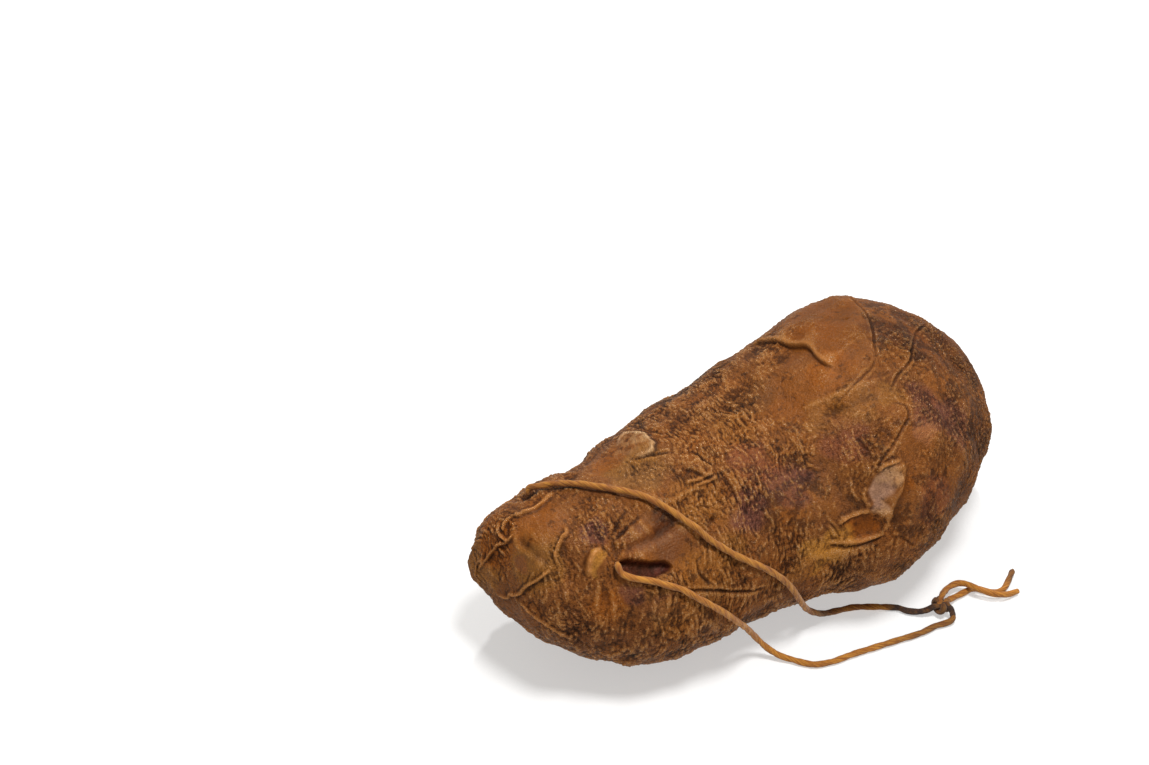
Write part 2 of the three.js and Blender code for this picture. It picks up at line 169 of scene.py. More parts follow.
# Broad swellings and hollows: place, radius and rise
SWELLINGS = [
    ([26, 50], 2.6, 0.7), ([152, 138], 13, 1.9), ([1, 150], 17, 2.4), ([76, 69], 24, 2.4),
    ([103, 98], 22, -3.2), ([112, 64], 20, -2), ([150, 45], 22, 1.6), ([118, 15.5], 5, -2.3),
    ([21, 128], 3.2, -2.8), ([126, 29], 6.5, -1.8), ([68, 47], 0.9, -1), ([151.5, 107], 0.9, -1),
    ([158, 101], 0.8, -0.9), ([160, 99.5], 0.7, -0.9), ([12, 70], 6, 0.8), ([22, 63], 5, 0.9),
    ([97, 12], 14, -0.9), ([60, -10], 22, 1.8), ([178, 10], 24, 1.4), ([96, 175], 22, -2.4),
    ([52, 155], 20, -0.8),
]
# How far lines, wrinkles and tints stray from their places: size of the bends, reach and seed
LINE_STRAYS = [(7, 0.45, 300), (2.6, 0.12, 300)]
WRINKLE_STRAY = (12, 2.4, 100)
TINT_STRAY = (6, 2.5, 200)
# Slit in the front of the tip: its middle line, how far from that its straight upper edge and its round
# lower edge lie, and its depth
SLIT = dict(through=[[31.5, 45], [39, 41], [47.5, 36.5]], upper=-1.8, lower=4.4, depth=3.8)
# Waves of the drying casing: mm per wave along x, y and z, height and phase
WAVES = [((31, 47, 53), 0.4, 0.4), ((-19, 29, 37), 0.22, 2.1), ((23, -17, 41), 0.16, 4.4)]
# Patterns of the dried casing: size of a cell in mm, or along x, y and z, seed and layers
PATTERNS = {
    "strokes": ((1.3, 4, 4), 11, 2), "crinkle": ((2.6, 1.5, 1.9), 21, 3), "broad": ((16, 24, 24), 31, 2),
    "coarse": ((4.5, 10, 10), 41, 2), "lumps": (7, 51, 1), "patches": (15, 61, 1),
    "ragged": (2.5, 71, 1), "blotched": (2.4, 72, 1), "frayed": (1.8, 73, 1),
    "streaks": ((3.5, 1.2, 1.2), 210, 1),
}
# Wrinkles: heights, the sink between them, the crinkle's share in the head's strokes, and how far above
# the floor they are whole
STROKE_HEIGHT = 0.9
CRINKLE_HEIGHT = 0.45
COARSE_HEIGHT = 0.6
LUMP_HEIGHT = 0.5
WRINKLE_SINK = 0.4
BROAD_HEIGHT = 0.8
HEAD_STROKES = 0.75
FLOOR_FADE = 14
# Areas where the casing is stretched smooth: place, reach and how smooth
SMOOTH_AREAS = [
    ([142, 100], 17, 0.6), ([150, 122], 14, 0.6), ([120, 88], 14, 0.5), ([8, 70], 8, 0.7),
    ([16, 85], 9, 0.5), ([48, 52], 11, 0.7), ([127, 28], 7, 0.8), ([117, 14], 6, 0.8),
    ([59, 110], 8, 0.6), ([24.5, 49], 4.5, 0.8),
]
# Where an area ends and where it is whole, in parts of its reach
SMOOTH_EDGE = (1.25, 0.75)
TINT_EDGE = (1.2, 0.7)
MOTTLE_EDGE = (1.2, 0.6)
# Strength of the painted highlights and painted shadow lines of folds, creases, lips and the scrap, and
# from what width a crease is a wide one
FOLD_MARK = 0.8
CREASE_MARK = 0.6
WIDE_CREASE = 1.6
WIDE_CREASE_MARK = 0.2
LIP_CREST = 0.5
SCRAP_MARK = 0.8
# Shading of the relief: fine and broad reach in grid steps, heights that count as one, and where crests
# and hollows start
FINE_REACH = 3
BROAD_REACH = 12
FINE_UNIT = 0.14
BROAD_UNIT = 0.9
CREST_FROM = 0.35
HOLLOW_FROM = 0.3
# Its strength where nothing is wrinkled, and what the head loses of it
PLAIN_SHADING = 0.35
HEAD_SHADING_LOSS = 0.4

# Twine: thickness, plies, length of one turn, and the sides and steps of its mesh
TWINE_DIAMETER = 2.4
PLIES = 2
PITCH = 14.0
TWINE_SIDES = 30
TWINE_STEP = 0.4
# Parts of its radius: between the plies, their rise and their roughness
CORE = 0.79
PLY_RISE = 0.18
ROUGHNESS = 0.06
# Room between the twine and the skin or floor, and how far from the twine the skin is pressed in
SKIN_GAP = 0.05
FLOOR_GAP = 0.05
TWINE_REACH = 4

# Routes: the front run from the slit down to the knot, the back run from a hole on top of the tip,
# over the middle and down to the same knot, and the two cut tails
ROUTE_FRONT = [
    [-70.4, -32.9, 59.8], [-70.8, -34.6, 58.5], [-70.2, -36, 57], [-69, -37.5, 56.5], [-67, -39, 55.8],
    [-64, -40.5, 55], [-61, -42, 54], [-57.5, -44, 52.5], [-53, -46.2, 50.2], [-49, -48.1, 46.6],
    [-44, -50, 42], [-38.5, -50.5, 36], [-32.5, -49.5, 28], [-27, -46.8, 20], [-23, -45, 13.5],
    [-19.8, -45, 8.4], [-17, -46.7, 4.7], [-14, -49.5, 2.4], [-10.5, -53, 1.6], [-5.5, -58, 1.4],
    [1, -60, 1.4], [9, -60.5, 1.4], [18, -61.5, 1.4], [27, -62.5, 1.4], [36, -63.5, 1.4],
    [42, -63.2, 1.4], [46.2, -63.8, 1.5], [47.9, -64.1, 1.9], [49.2, -63.7, 2.6], [49.5, -62.7, 3.2],
]
ROUTE_BACK = [
    [-79.4, 11.5, 58.3], [-79.7, 12, 59.8], [-79, 11.8, 61.3], [-77.6, 10, 62.8], [-75.5, 8, 64],
    [-73, 6, 65.2], [-70, 2.5, 66.7], [-67, -1, 68], [-63.5, -6, 69.4], [-60, -10.5, 70.2],
    [-56.5, -13.8, 70.2], [-53, -18, 70.2], [-50, -22.9, 69.8], [-46.5, -27, 67.5], [-43.8, -31, 65.5],
    [-41.2, -35.7, 63.9], [-38, -38.3, 59.7], [-34.5, -40.2, 56.3], [-30.5, -42.5, 52.7], [-25.5, -45, 49],
    [-20.3, -46.7, 44.8], [-14.8, -47.7, 39], [-11.5, -48.2, 34.5], [-9, -48.3, 30], [-6.5, -47.5, 25],
    [-3, -45.6, 18.5], [1, -43, 12], [5.5, -42, 7.3], [10, -41, 4], [16.3, -40.7, 2.2],
    [22.3, -41.5, 1.5], [28, -44.3, 1.4], [33, -47.3, 1.4], [36, -49.5, 1.4], [38, -52.3, 1.4],
    [40.3, -54.4, 1.8], [42, -55.7, 2.4], [43.1, -56.2, 2.8],
]
ROUTE_TAIL_LONG = [
    [51.4, -54.4, 5.8], [53, -53.2, 5.1], [55.4, -51.9, 4.4], [57.9, -51.3, 4], [60, -51.5, 3.9],
    [61.5, -52.6, 4.1], [62.5, -54.4, 4.4], [63.4, -56.4, 4.5], [64.4, -58.2, 4.4], [65.7, -59.7, 4.2],
    [67.3, -61.3, 3.9], [69.3, -62.5, 3.4], [72, -63.2, 2.6], [74.8, -63.3, 1.9], [77.9, -63.1, 1.5],
]
ROUTE_TAIL_SHORT = [
    [52.1, -56, 3.1], [54.6, -55.3, 2.2], [57.4, -54.6, 1.5], [59.7, -54.4, 1.4], [61.8, -54.2, 1.4],
    [63.9, -54.2, 1.4], [65.9, -55, 1.4], [67.3, -56.7, 1.4], [69.1, -58.5, 1.4], [70.9, -59.9, 1.4],
    [72.9, -60.1, 1.4], [75.1, -59.2, 1.4], [77.9, -57.3, 1.5], [80.4, -55.4, 1.7], [82.6, -53.7, 2],
]
KNOT_MIDDLE = np.array([47.6, -57.8, 4.4])
# Route and stain of the dark band that joins the two runs in the knot, and of the roots of the tails
KNOT_ROUTES = [
    ([[41.6, -55.3, 2.1], [43.4, -56.4, 3.0], [45.6, -57.4, 4.6], [48, -59, 5.2], [49.7, -60.8, 4.5],
      [49.8, -62.4, 3.3], [49.0, -63.8, 2.4]], 0.95),
    ([[46.4, -58.6, 5.2], [48.6, -56.6, 6.3], [50.6, -54.9, 6.2], [52.1, -53.7, 5.5]], 0.15),
    ([[47, -59.2, 3.6], [49.6, -57.3, 3.8], [51.6, -56.2, 3.3], [53.2, -55.6, 2.7]], 0.35),
]
# Turns round the knot: their lean and their place along it, with half width, half height and stain
KNOT_TURNS = [(0.5, -1.0), (-0.35, 1.1)]
TURN_HALF_WIDTH = 2.3
TURN_HALF_HEIGHT = 2.0
TURN_STAIN = 0.7


# Curves, noise and small helpers

def smoothstep(value, low, high):
    part = np.clip((value - low) / (high - low), 0, 1)
    return part * part * (3 - 2 * part)


def bell(distance, width):
    return np.exp(-(distance / width) ** 2)


def unit(vectors):
    return vectors / np.maximum(np.linalg.norm(vectors, axis=-1, keepdims=True), 1e-12)


def along_list(values, t):
    """Value at t (0 to 1) of an even list of numbers, rounded off by a Catmull-Rom curve."""
    values = np.asarray(values, float)
    last = len(values) - 1
    scaled = np.clip(t, 0, 1) * last
    i = np.minimum(np.floor(scaled).astype(int), last - 1)
    r = scaled - i
    p0 = values[np.maximum(i - 1, 0)]
    p1 = values[i]
    p2 = values[i + 1]
    p3 = values[np.minimum(i + 2, last)]
    return 0.5 * (2 * p1 + (p2 - p0) * r + (2 * p0 - 5 * p1 + 4 * p2 - p3) * r ** 2
                  + (3 * p1 - p0 - 3 * p2 + p3) * r ** 3)


def smooth_line(points, per_span):
    """Centripetal Catmull-Rom curve through the points, cut into so many steps a span."""
    points = np.asarray(points, float)
    first = 2 * points[0] - points[1]
    beyond = 2 * points[-1] - points[-2]
    padded = np.vstack([first, points, beyond])
    r = (np.arange(per_span) / per_span)[:, None]
    spans = []
    for p0, p1, p2, p3 in zip(padded, padded[1:], padded[2:], padded[3:]):
        d0, d1, d2 = (np.linalg.norm(b - a) ** 0.5 for a, b in ((p0, p1), (p1, p2), (p2, p3)))
        start = ((p1 - p0) / d0 - (p2 - p0) / (d0 + d1)) * d1 + (p2 - p1)
        end = ((p3 - p2) / d2 - (p3 - p1) / (d1 + d2)) * d1 + (p2 - p1)
        spans.append(p1 + start * r + (3 * (p2 - p1) - 2 * start - end) * r ** 2
                     + (2 * (p1 - p2) + start + end) * r ** 3)
    return np.vstack([*spans, points[-1]])


def run_along(line):
    return np.concatenate([[0], np.cumsum(np.linalg.norm(np.diff(line, axis=0), axis=1))])


def evenly(line, step):
    """The same line with points that lie a step apart."""
    run = run_along(line)
    places = np.linspace(0, run[-1], max(2, round(run[-1] / step) + 1))
    return np.stack([np.interp(places, run, line[:, k]) for k in range(3)], axis=1)


def noise(cells, seed):
    """Smooth noise of about -1 to 1, at points given in cells of the noise."""
    draw = np.random.default_rng(seed)
    gradients = unit(draw.normal(size=(256, 3)))
    shuffle = draw.permutation(256)
    corner_of = np.floor(cells).astype(int)
    part = cells - corner_of
    ease = part ** 3 * (part * (part * 6 - 15) + 10)
    total = np.zeros(len(cells))
    for corner in itertools.product((0, 1), repeat=3):
        at = (corner_of + corner) & 255
        pick = shuffle[(shuffle[(shuffle[at[:, 0]] + at[:, 1]) & 255] + at[:, 2]) & 255]
        slope = (gradients[pick] * (part - corner)).sum(axis=1)
        weight = np.where(corner, ease, 1 - ease).prod(axis=1)
        total += weight * slope
    return total * 1.7


def layered(cells, seed, layers):
    """Noise on noise, each layer of half the size and half the strength."""
    total = np.zeros(len(cells))
    for k in range(layers):
        total += noise(cells * 2 ** k + 17.3 * k, seed + k) * 0.5 ** k
    return total / (2 - 0.5 ** (layers - 1))


# Plain body

def body_point(t, around):
    cap = np.maximum(np.sin(np.pi * t), 0) ** END_BLUNTNESS
    half_width = along_list(HALF_WIDTH, t) * cap
    full_height = along_list(HALF_HEIGHT, t)
    middle = full_height * (SLUMP + (1 - SLUMP) * cap) + along_list(LIFT, t) - PRESSED_FLAT
    rise = np.sin(around)
    y = along_list(SIDEWAYS, t) - half_width * np.cos(around) * (1 - WIDEST_LOW * rise)
    return np.stack([-np.cos(np.pi * t) * LENGTH / 2, y, middle + full_height * cap * rise], axis=-1)


def body_normal(t, around):
    nudge = 0.002
    safe = np.clip(t, 2 * nudge, 1 - 2 * nudge)
    forward = body_point(safe + nudge, around) - body_point(safe - nudge, around)
    turn = body_point(safe, around + nudge) - body_point(safe, around - nudge)
    return unit(np.cross(forward, turn))


def station_of(x):
    return np.arccos(np.clip(-2 * x / LENGTH, -1, 1)) / np.pi


def place_point(place):
    from_tip, degrees = np.asarray(place, float).T
    return body_point(station_of(from_tip - LENGTH / 2), np.radians(degrees))


def onto_body(points):
    """Points of the plain body on the same sections, in the same directions from their middles."""
    t = station_of(points[:, 0])
    left, right, top = (body_point(t, 0 * t + turn) for turn in (0, np.pi, np.pi / 2))
    half_width = np.maximum((right[:, 1] - left[:, 1]) / 2, 1e-6)
    half_height = np.maximum(top[:, 2] - left[:, 2], 1e-6)
    middle_y = (left[:, 1] + right[:, 1]) / 2
    around = np.arctan2((points[:, 2] - left[:, 2]) / half_height, (middle_y - points[:, 1]) / half_width)
    return body_point(t, around)


def strayed(points, size, reach, seed):
    """Points moved about by smooth noise."""
    return points + reach * np.stack([noise(points / size, seed + k) for k in range(3)], axis=1)


def pattern(name, points):
    cell, seed, layers = PATTERNS[name]
    return layered(points / cell, seed, layers)


def line_over(places):
    line = smooth_line(place_point(places), 8)
    for stray in LINE_STRAYS:
        line = strayed(line, *stray)
    return onto_body(line)


def within(points, place, reach, edge):
    """1 near a place on the body and 0 beyond its reach."""
    distance = np.linalg.norm(points - place_point(place), axis=1)
    return smoothstep(distance, reach * edge[0], reach * edge[1])


def near_line(points, normals, line, reach):
    """For the points within reach of a line: which they are, their distance, the same with its sign
    (right of the line is above 0), how far along it they lie and the direction across it to its right."""
    low, high = line.min(axis=0) - reach, line.max(axis=0) + reach
    chosen = np.flatnonzero(((points > low) & (points < high)).all(axis=1))
    here, normal = points[chosen], normals[chosen]
    best = np.full(len(chosen), np.inf)
    along = np.zeros(len(chosen))
    side = np.ones(len(chosen))
    across = np.zeros((len(chosen), 3))
    for i, (start, end) in enumerate(zip(line, line[1:])):
        step = end - start
        offset = here - start
        part = np.clip(offset @ step / (step @ step), 0, 1)
        offset = offset - part[:, None] * step
        distance = np.linalg.norm(offset, axis=1)
        closer = distance < best
        right = unit(np.cross(step, normal[closer]))
        best[closer] = distance[closer]
        along[closer] = (i + part[closer]) / (len(line) - 1)
        side[closer] = np.sign((right * offset[closer]).sum(axis=1))
        across[closer] = right
    return SimpleNamespace(chosen=chosen, distance=best, signed=best * side, along=along, across=across)


def fade_at_ends(along):
    """Strength along a line: nothing at its ends, and a little uneven between them."""
    uneven = 0.85 + 0.2 * np.sin(17 * along + 1) * np.sin(7 * along)
    return uneven * smoothstep(along, 0, 0.18) * smoothstep(1 - along, 0, 0.18)


# Camera and light

def set_inputs(node, values):
    for name, value in values.items():
        node.inputs[name].default_value = value


def new_material(name):
    material = bpy.data.materials.new(name)
    material.use_nodes = True
    return material, material.node_tree.nodes["Principled BSDF"]


def put(name, data, place, back):
    """A camera or a light at a place, which looks away from the direction called back."""
    thing = bpy.data.objects.new(name, data)
    thing.location = place
    thing.rotation_mode = "QUATERNION"
    thing.rotation_quaternion = (-back).to_track_quat("-Z", "Y")
    bpy.context.scene.collection.objects.link(thing)
    return thing


def make_camera():
    azimuth, elevation = math.radians(CAMERA_AZIMUTH), math.radians(CAMERA_ELEVATION)
    back = Vector((math.sin(azimuth) * math.cos(elevation),
                   -math.cos(azimuth) * math.cos(elevation), math.sin(elevation)))
    data = bpy.data.cameras.new("camera")
    data.lens = CAMERA_LENS
    data.sensor_width = 36
    data.sensor_fit = "HORIZONTAL"
    data.clip_start, data.clip_end = 0.01, 20
    place = (Vector(CAMERA_TARGET) + back * CAMERA_DISTANCE) * MM
    bpy.context.scene.camera = put("camera", data, place, back)


def make_light(name, place, size, power):
    data = bpy.data.lights.new(name, "AREA")
    data.shape = "DISK"
    data.size = size
    data.energy = power
    put(name, data, place, Vector(place))


def make_studio():
    scene = bpy.context.scene
    scene.view_settings.view_transform = "Standard"
    scene.view_settings.look = "None"
    world = bpy.data.worlds.new("studio")
    world.use_nodes = True
    background = world.node_tree.nodes["Background"]
    set_inputs(background, {"Color": (*SURROUND_COLOUR, 1), "Strength": WORLD_STRENGTH})
    scene.world = world
    for name, place, size, power in LIGHTS:
        make_light(name, place, size, power)
    bpy.ops.mesh.primitive_plane_add(size=FLOOR_SIZE)
    floor = bpy.context.object
    floor.name = "floor"
    material, shader = new_material("floor")
    set_inputs(shader, {
        "Base Color": (FLOOR_GREY, FLOOR_GREY, FLOOR_GREY, 1), "Emission Color": (1, 1, 1, 1),
        "Emission Strength": FLOOR_GLOW, "Roughness": 1.0, "Specular IOR Level": 0.0,
    })
    floor.data.materials.append(material)
    floor.visible_glossy = False


# Materials

class Nodes:
    """Short calls that add nodes to one material and return their output sockets."""

    def __init__(self, material):
        self.tree = material.node_tree

    def add(self, kind, **settings):
        node = self.tree.nodes.new(kind)
        for key, value in settings.items():
            setattr(node, key, value)
        return node

    def join(self, value, socket):
        if isinstance(value, bpy.types.NodeSocket):
            self.tree.links.new(value, socket)
        else:
            socket.default_value = value

    def attribute(self, name, output="Fac"):
        return self.add("ShaderNodeAttribute", attribute_name=name).outputs[output]

    def place(self):
        """Place on the part in mm."""
        node = self.add("ShaderNodeVectorMath", operation="SCALE")
        self.join(self.add("ShaderNodeTexCoord").outputs["Object"], node.inputs[0])
        node.inputs["Scale"].default_value = 1 / MM
        return node.outputs[0]

    def maths(self, operation, *values):
        node = self.add("ShaderNodeMath", operation=operation)
        for value, socket in zip(values, node.inputs):
            self.join(value, socket)
        return node.outputs[0]

    def times(self, first, second):
        return self.maths("MULTIPLY", first, second)

    def noise(self, cells, size=1.0, detail=3.0, rough=0.6, warp=0.0):
        node = self.add("ShaderNodeTexNoise")
        self.join(cells, node.inputs["Vector"])
        set_inputs(node, {"Scale": 1 / size, "Detail": detail, "Roughness": rough, "Distortion": warp})
        return node.outputs["Fac"]

    def remap(self, value, low, high, to_low=0.0, to_high=1.0):
        node = self.add("ShaderNodeMapRange", interpolation_type="SMOOTHSTEP")
        self.join(value, node.inputs["Value"])
        ends = {"From Min": low, "From Max": high, "To Min": to_low, "To Max": to_high}
        for name, number in ends.items():
            self.join(number, node.inputs[name])
        return node.outputs["Result"]

    def mix(self, amount, first, second, blend="MIX"):
        node = self.add("ShaderNodeMix", data_type="RGBA", blend_type=blend, clamp_factor=True)
        self.join(amount, node.inputs["Factor"])
        for value, index in ((first, 6), (second, 7)):
            self.join((*value, 1) if isinstance(value, tuple) else value, node.inputs[index])
        return node.outputs[2]

    def tinted(self, amount, colour, shade):
        """The colour, multiplied by a shade as far as the amount says."""
        return self.mix(amount, colour, self.mix(1.0, colour, shade, "MULTIPLY"))

    def bump(self, height, distance):
        node = self.add("ShaderNodeBump")
        self.join(height, node.inputs["Height"])
        set_inputs(node, {"Distance": distance * MM, "Strength": 1.0})
        return node.outputs["Normal"]


def linear(*screen):
    """A colour as a screen shows it (0 to 255) in the linear light that the shaders use."""
    return np.array([((c / 255 + 0.055) / 1.055) ** 2.4 for c in screen])


# What the studio adds to every colour as gloss, and how brightly it lights the rest
VEIL = 0.022
LIGHT_LEVEL = np.array([1.3, 1.45, 1.5])


def seen(*screen):
    """Base colour of a surface that shows as this colour in the studio."""
    return tuple((np.maximum(linear(*screen) - VEIL, 0.003) / LIGHT_LEVEL).tolist())


# Named colours of the smoked casing, as the screen shows them, with the colours of its painted sheen,
# glints and crest highlights
AS_SEEN = {
    "brown": (139, 92, 55), "ochre": (156, 106, 58), "orange": (150, 94, 48), "olive": (148, 106, 60),
    "purple": (122, 82, 70), "red": (134, 84, 64), "pink": (158, 112, 86), "crest_highlight": (190, 134, 80),
    "dark": (92, 58, 40), "grey": (112, 76, 48), "meat": (104, 68, 58), "yellow": (184, 134, 68),
    "amber": (130, 82, 36), "pale": (182, 146, 110), "scrap": (170, 134, 96), "painted_glint": (232, 208, 170),
    "copper": (152, 92, 46), "painted_sheen": (190, 140, 86), "rose": (118, 78, 54),
}
COLOURS = {name: seen(*screen) for name, screen in AS_SEEN.items()}

# Where the casing takes another colour: colour, place, reach in mm and strength
TINTS = [
    # Tip
    ("olive", [8, 58], 12, 0.9), ("brown", [11, 84], 7, 0.6), ("amber", [15, 78], 6, 0.6),
    ("yellow", [0.5, 80], 11, 0.35), ("brown", [23, 63], 6, 0.9), ("orange", [20, 105], 5, 0.5),
    ("orange", [4, 106], 10, 1), ("purple", [29, 68], 5, 0.9), ("red", [5, 55], 4, 0.5),
    ("orange", [24, 20], 6, 0.8), ("dark", [18, -6], 8, 0.3), ("ochre", [39, 26], 4, 0.7),
    ("purple", [32, 27], 5, 0.7), ("purple", [43, 15], 6, 0.6), ("dark", [36, 0], 7, 0.3),
    ("ochre", [43, 9], 8, 0.8),
    # About the slit
    ("rose", [40, 58], 6, 0.8), ("rose", [50, 48], 8, 0.8), ("dark", [51, 60], 4, 0.8),
    ("olive", [60, 53], 5, 0.8), ("yellow", [28.3, 53.5], 1.6, 0.9), ("yellow", [26.3, 52], 2.1, 1),
    ("yellow", [24.5, 48.8], 1.9, 1), ("yellow", [23.3, 45], 1.6, 0.9),
    ("yellow", [22.8, 41], 1.3, 0.7), ("yellow", [54, 101], 2.4, 0.7), ("ochre", [58, 24], 12, 0.9),
    ("olive", [71, 30], 6, 0.6),
    # Top of the middle
    ("olive", [54, 92], 11, 0.9), ("orange", [50, 112], 7, 0.7), ("orange", [75, 96], 9, 0.7),
    ("brown", [88, 99], 9, 0.6), ("dark", [100, 143], 13, 0.6), ("dark", [80, 147], 9, 0.5),
    ("grey", [105, 95], 9, 0.6), ("ochre", [92, 84], 8, 0.7), ("dark", [67, 70], 4, 0.6),
    # Front of the middle
    ("ochre", [65, 60], 9, 0.8), ("purple", [81, 44], 8, 0.9), ("purple", [98, 45], 9, 0.7),
    ("ochre", [72, 50], 6, 0.7), ("red", [90, 62], 9, 0.6), ("red", [121, 55], 9, 0.7),
    ("olive", [130, 66], 8, 0.4), ("olive", [119, 68], 8, 0.4), ("amber", [110, 78], 8, 0.5),
    ("olive", [142, 63], 5, 0.6),
    # Head
    ("amber", [141, 106], 15, 1), ("orange", [131, 86], 9, 0.7), ("amber", [151, 122], 12, 0.8),
    ("dark", [162, 86], 11, 0.7), ("dark", [182, 92], 13, 0.6), ("dark", [171, 70], 11, 0.5),
    ("dark", [188, 62], 12, 0.4), ("purple", [154, 48], 9, 0.8), ("purple", [166, 34], 10, 0.7),
    ("dark", [178, 14], 11, 0.5), ("dark", [163, 0], 8, 0.4), ("pink", [148, 42], 5, 0.6),
    # Crumple under the head; its pale facets are partly painted light, paler where they face the light
    ("pale", [125, 30], 4.5, 1), ("pale", [130, 34], 4, 1), ("pale", [124, 23], 3, 0.9),
    ("orange", [134, 27], 3, 0.8), ("red", [146, 12], 9, 0.6), ("copper", [117, 16], 5.5, 0.9),
    ("yellow", [110, 12], 5, 0.8), ("ochre", [104, 1], 7, 0.9), ("yellow", [105, 6], 5.5, 0.8),
    ("yellow", [101, 8], 6, 0.9), ("yellow", [100, 1], 4, 0.7), ("ochre", [95, 0], 6, 0.9),
]

# Dark mottles: how many in general, and then place, reach in mm and how many
PLAIN_MOTTLE = 0.5
MOTTLES = [
    ([165, 88], 24, 0.95), ([180, 35], 26, 0.85), ([97, 44], 17, 0.9), ([30, 8], 22, 0.6),
    ([58, 25], 14, 0.55), ([142, 8], 18, 0.8), ([93, 142], 18, 0.9), ([60, -20], 30, 0.6),
    ([51, 60], 5, 1), ([160, 45], 12, 0.8), ([29, 68], 5, 0.9), ([141, 106], 18, 0.15),
    ([152, 124], 13, 0.15), ([118, 90], 14, 0.35), ([10, 72], 12, 0.3), ([47, 50], 9, 0.3),
    ([128, 28], 7, 0.55), ([105, 8], 10, 0.1), ([76, 92], 12, 0.3), ([125, 66], 10, 0.25),
    ([25, 47], 5, 0),
]

# Sizes of the casing's patches of colour and of its grain, in mm
WARM_SIZE = 13.0
BLOTCH_SIZE = 6.5
SPECK_SIZE = 2.0
GRAIN_SIZE = 0.55
# Shades that its colour is multiplied by; those of the hollows and the grooves are painted shade, that of
# the crests painted light, and that of the grain painted shade where the bumped grain is low
SHADES = {
    "warm": (1.16, 1.10, 0.9), "cool": (0.86, 0.86, 1.1), "light": (1.22, 1.22, 1.15),
    "mottle": (0.40, 0.38, 0.48), "grain": (0.62, 0.57, 0.57), "painted_hollow_shade": (0.25, 0.20, 0.20),
    "crest": (1.1, 1.15, 1.2), "groove": (0.42, 0.36, 0.34),
}
# Height of its grain and of the twine's fibres, in mm
GRAIN_HEIGHT = 0.8
FIBRE_HEIGHT = 0.25


def make_casing_material():
    material, shader = new_material("casing")
    n = Nodes(material)
    place = n.place()
    high = n.attribute("high")
    low = n.attribute("low")

    # Blotches, and the dark mottles that they gather into
    blotch = n.noise(place, BLOTCH_SIZE, detail=4.0, warp=0.3)
    speck = n.noise(place, SPECK_SIZE)
    warm = n.noise(place, WARM_SIZE)
    grain = n.noise(place, GRAIN_SIZE, detail=2.0)
    both_sizes = n.maths("ADD", n.times(blotch, 0.66), n.times(speck, 0.34))
    edge = n.maths("SUBTRACT", 0.64, n.times(n.attribute("mottle"), 0.17))
    dark = n.remap(both_sizes, n.maths("SUBTRACT", edge, 0.02), n.maths("ADD", edge, 0.05))

    colour = n.tinted(n.remap(warm, 0.42, 0.62), n.attribute("tint", "Color"), SHADES["warm"])
    colour = n.tinted(n.remap(warm, 0.46, 0.34), colour, SHADES["cool"])
    colour = n.tinted(n.remap(both_sizes, 0.48, 0.38), colour, SHADES["light"])
    colour = n.tinted(n.times(dark, 0.9), colour, SHADES["mottle"])
    # The grain is darker where its bump is low: painted shade in its small hollows.
    colour = n.tinted(n.remap(grain, 0.6, 0.35, 0.0, 0.7), colour, SHADES["grain"])
    # Hollows of the relief darkened: painted shade.
    colour = n.tinted(low, colour, SHADES["painted_hollow_shade"])
    # Crests of the relief lightened, with a painted sheen and small painted glints on them: painted light.
    colour = n.tinted(high, colour, SHADES["crest"])
    colour = n.mix(n.times(high, 0.65), colour, COLOURS["painted_sheen"])
    glints = n.times(high, n.remap(grain, 0.56, 0.68))
    colour = n.mix(n.times(glints, 0.5), colour, COLOURS["painted_glint"])
    # Painted shadow lines in the creases and beside the folds, the lips and the scrap.
    colour = n.tinted(n.attribute("groove"), colour, SHADES["groove"])
    # Painted highlights on the crests of the folds and the lips.
    colour = n.mix(n.attribute("crest"), colour, COLOURS["crest_highlight"])
    n.join(colour, shader.inputs["Base Color"])

    n.join(n.remap(n.maths("SUBTRACT", high, low), -0.3, 0.5, 0.42, 0.18), shader.inputs["Roughness"])
    set_inputs(shader, {"Specular IOR Level": 0.2, "Specular Tint": (1, 0.86, 0.64, 1)})
    wrinkled = n.maths("ADD", 0.25, n.times(n.attribute("wrinkle"), 0.75))
    n.join(n.bump(n.times(grain, wrinkled), GRAIN_HEIGHT), shader.inputs["Normal"])
    return material


def make_twine_material():
    pale, deep, stain = seen(208, 150, 62), seen(164, 104, 34), seen(52, 36, 28)
    material, shader = new_material("twine")
    n = Nodes(material)
    place = n.place()
    fibre = n.noise(n.attribute("lay", "Vector"), detail=2.0)
    blotch = n.noise(place, 2.6)
    uneven = n.noise(place, 7.0, rough=0.7)
    stained = n.times(n.attribute("stain"), n.remap(blotch, 0.2, 0.6, 0.6, 1.0))
    colour = n.mix(n.remap(fibre, 0.35, 0.65), deep, pale)
    colour = n.tinted(n.remap(uneven, 0.5, 0.65, 0.0, 0.55), colour, (0.62, 0.5, 0.4))
    colour = n.mix(stained, colour, stain)
    # Darker between the plies: painted shade.
    colour = n.tinted(n.remap(n.attribute("ply"), 0.5, 0.0, 0.0, 0.45), colour, (0.4, 0.33, 0.28))
    n.join(colour, shader.inputs["Base Color"])
    set_inputs(shader, {"Roughness": 0.82, "Sheen Weight": 0.15})
    n.join(n.bump(fibre, FIBRE_HEIGHT), shader.inputs["Normal"])
    return material


# Meshes

# How a mesh holds one, three or four numbers a point
VALUE_KINDS = {1: ("FLOAT", "value"), 3: ("FLOAT_VECTOR", "vector"), 4: ("FLOAT_COLOR", "color")}


